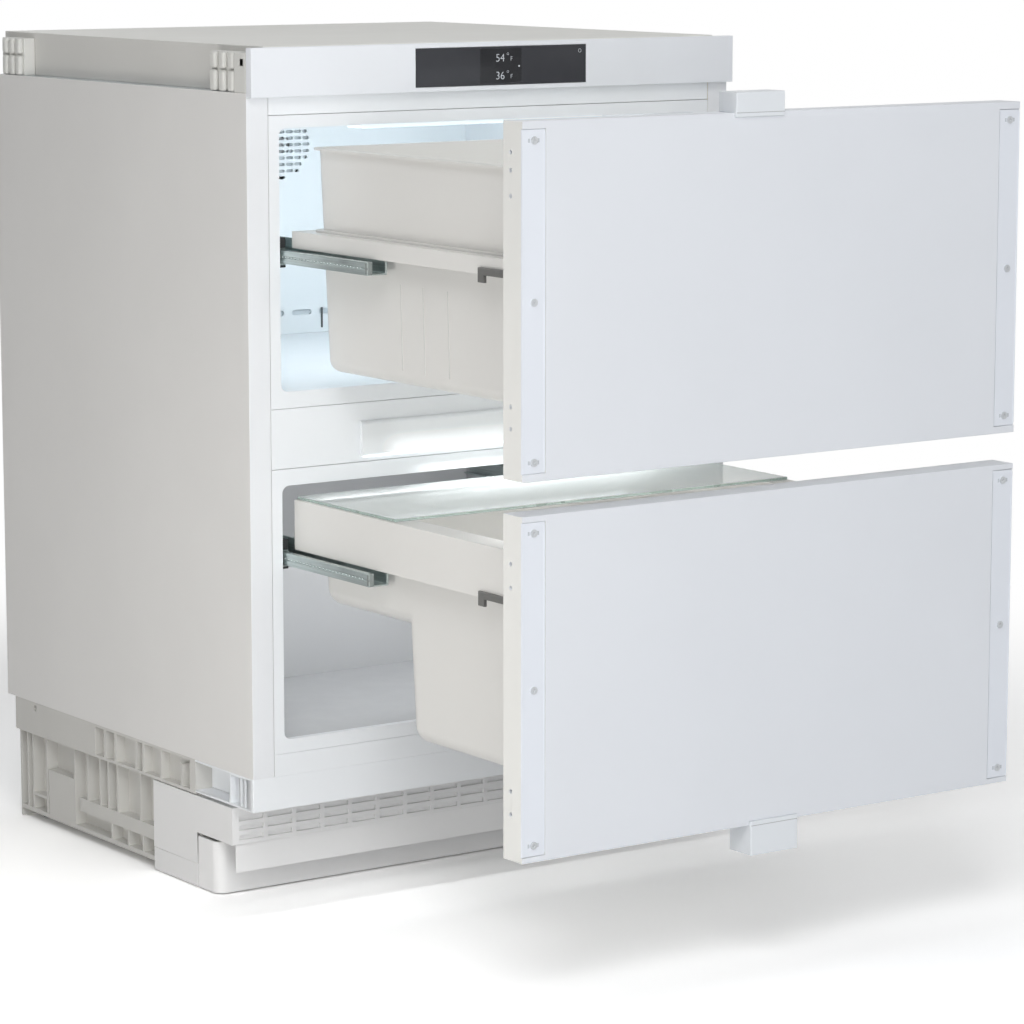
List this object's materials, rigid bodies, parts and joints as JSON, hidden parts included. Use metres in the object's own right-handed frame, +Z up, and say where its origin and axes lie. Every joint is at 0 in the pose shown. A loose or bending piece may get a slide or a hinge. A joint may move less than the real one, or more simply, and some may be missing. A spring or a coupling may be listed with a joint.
{
  "type": "undercounter drawer refrigerator",
  "caption": "Built-in undercounter refrigerator with two full-extension drawers over a ventilated base, with a lit upper compartment and a glass cover on the lower bin.",
  "frame": {"origin": "on the floor, in the middle of the cabinet's width and depth; the base moulding's lower edge rests there", "axes": "+X to the cabinet's right seen from the front, +Y to the rear, +Z up"},
  "size_m": [0.597, 1.008, 0.87],
  "materials": {
    "panel_grey": "satin",
    "zinc_sheet": "matte",
    "foam": "matte",
    "liner_white": "satin",
    "liner_grey": "satin",
    "frame_white": "satin",
    "light_diffuser": "satin",
    "panel_white": "satin",
    "display_black": "gloss",
    "circuit_board": "satin",
    "cover_white": "satin",
    "block_grey": "matte",
    "duct_white": "satin",
    "evaporator_fins": "satin",
    "motor_black": "satin",
    "fan_plastic": "satin",
    "rail_steel": "satin",
    "damper_black": "satin",
    "front_white": "satin",
    "strip_plastic": "satin",
    "screw_zinc": "satin",
    "gasket_white": "matte",
    "fitting_white": "satin",
    "bin_white": "satin",
    "catch_grey": "satin",
    "clear_glass": "gloss",
    "base_grey": "matte",
    "grille_white": "satin",
    "plinth_white": "satin",
    "foot_black": "matte",
    "compressor_black": "satin",
    "condenser_black": "satin",
    "inlet_black": "satin"
  },
  "bodies": {
    "cabinet": {"side_panel_left": "panel_grey", "side_panel_right": "panel_grey", "rear_roof_panel": "zinc_sheet", "underside_panel": "zinc_sheet", "insulation_foam": "foam", "upper_liner": "liner_white", "lower_liner": "liner_grey", "upper_frame": "frame_white", "lower_frame": "frame_white", "top_rail": "frame_white", "divider_cover": "frame_white", "divider_light": "light_diffuser", "bottom_cover": "frame_white", "header_housing": "panel_white", "display_glass": "display_black", "control_board": "circuit_board", "top_cover": "cover_white", "corner_blocks": "block_grey", "duct_cover": "duct_white", "evaporator": "evaporator_fins", "fan_motors": "motor_black", "cavity_light": "light_diffuser", "fixed_rails": "rail_steel", "rail_dampers": "damper_black", "base_moulding": "base_grey", "vent_grille": "grille_white", "plinth": "plinth_white", "compressor": "compressor_black", "condenser": "condenser_black", "rear_cover": "zinc_sheet", "power_inlet": "inlet_black"},
    "upper_drawer": {"upper_front": "front_white", "upper_strips": "strip_plastic", "upper_screws": "screw_zinc", "upper_gasket": "gasket_white", "upper_bracket": "fitting_white", "upper_bin": "bin_white", "upper_carrier": "bin_white", "upper_inner_rails": "rail_steel", "upper_catches": "catch_grey"},
    "lower_drawer": {"lower_front": "front_white", "lower_strips": "strip_plastic", "lower_screws": "screw_zinc", "lower_gasket": "gasket_white", "lower_bracket": "fitting_white", "lower_bin": "bin_white", "lower_carrier": "bin_white", "lower_inner_rails": "rail_steel", "lower_catches": "catch_grey"},
    "glass_cover": {"glass_cover": "clear_glass"},
    "mid_rail_upper_left": {"mid_rail_upper_left": "rail_steel"},
    "mid_rail_upper_right": {"mid_rail_upper_right": "rail_steel"},
    "mid_rail_lower_left": {"mid_rail_lower_left": "rail_steel"},
    "mid_rail_lower_right": {"mid_rail_lower_right": "rail_steel"},
    "foot_front_left": {"foot_front_left": "foot_black"},
    "foot_front_right": {"foot_front_right": "foot_black"},
    "foot_rear_left": {"foot_rear_left": "foot_black"},
    "foot_rear_right": {"foot_rear_right": "foot_black"},
    "cold_fan": {"cold_fan_rotor": "fan_plastic"},
    "warm_fan": {"warm_fan_rotor": "motor_black"}
  },
  "joints": [
    {"name": "upper_drawer_slide", "type": "slide", "parent": "cabinet", "child": "upper_drawer", "axis": [0, -1, 0], "range_m": [-0.425, 0]},
    {"name": "lower_drawer_slide", "type": "slide", "parent": "cabinet", "child": "lower_drawer", "axis": [0, -1, 0], "range_m": [-0.425, 0]},
    {"name": "mid_rail_upper_left_slide", "type": "slide", "parent": "cabinet", "child": "mid_rail_upper_left", "axis": [0, -1, 0], "range_m": [-0.2125, 0]},
    {"name": "mid_rail_upper_right_slide", "type": "slide", "parent": "cabinet", "child": "mid_rail_upper_right", "axis": [0, -1, 0], "range_m": [-0.2125, 0]},
    {"name": "mid_rail_lower_left_slide", "type": "slide", "parent": "cabinet", "child": "mid_rail_lower_left", "axis": [0, -1, 0], "range_m": [-0.2125, 0]},
    {"name": "mid_rail_lower_right_slide", "type": "slide", "parent": "cabinet", "child": "mid_rail_lower_right", "axis": [0, -1, 0], "range_m": [-0.2125, 0]},
    {"name": "glass_cover_slide", "type": "slide", "parent": "lower_drawer", "child": "glass_cover", "axis": [0, -1, 0], "range_m": [0, 0.23]},
    {"name": "foot_front_left_screw", "type": "slide", "parent": "cabinet", "child": "foot_front_left", "axis": [0, 0, -1], "range_m": [0, 0.05]},
    {"name": "foot_front_right_screw", "type": "slide", "parent": "cabinet", "child": "foot_front_right", "axis": [0, 0, -1], "range_m": [0, 0.05]},
    {"name": "foot_rear_left_screw", "type": "slide", "parent": "cabinet", "child": "foot_rear_left", "axis": [0, 0, -1], "range_m": [0, 0.05]},
    {"name": "foot_rear_right_screw", "type": "slide", "parent": "cabinet", "child": "foot_rear_right", "axis": [0, 0, -1], "range_m": [0, 0.05]},
    {"name": "cold_fan_spin", "type": "hinge", "parent": "cabinet", "child": "cold_fan", "pos_m": [0.011, 0.182, 0.7403], "axis": [0, 1, 0], "continuous": true},
    {"name": "warm_fan_spin", "type": "hinge", "parent": "cabinet", "child": "warm_fan", "pos_m": [0.12, 0.031, 0.055], "axis": [0, 1, 0], "continuous": true}
  ],
  "couplings": [
    {"joint": "mid_rail_upper_left_slide", "follows": "upper_drawer_slide", "ratio": 0.5},
    {"joint": "mid_rail_upper_right_slide", "follows": "upper_drawer_slide", "ratio": 0.5},
    {"joint": "mid_rail_lower_left_slide", "follows": "lower_drawer_slide", "ratio": 0.5},
    {"joint": "mid_rail_lower_right_slide", "follows": "lower_drawer_slide", "ratio": 0.5}
  ]
}
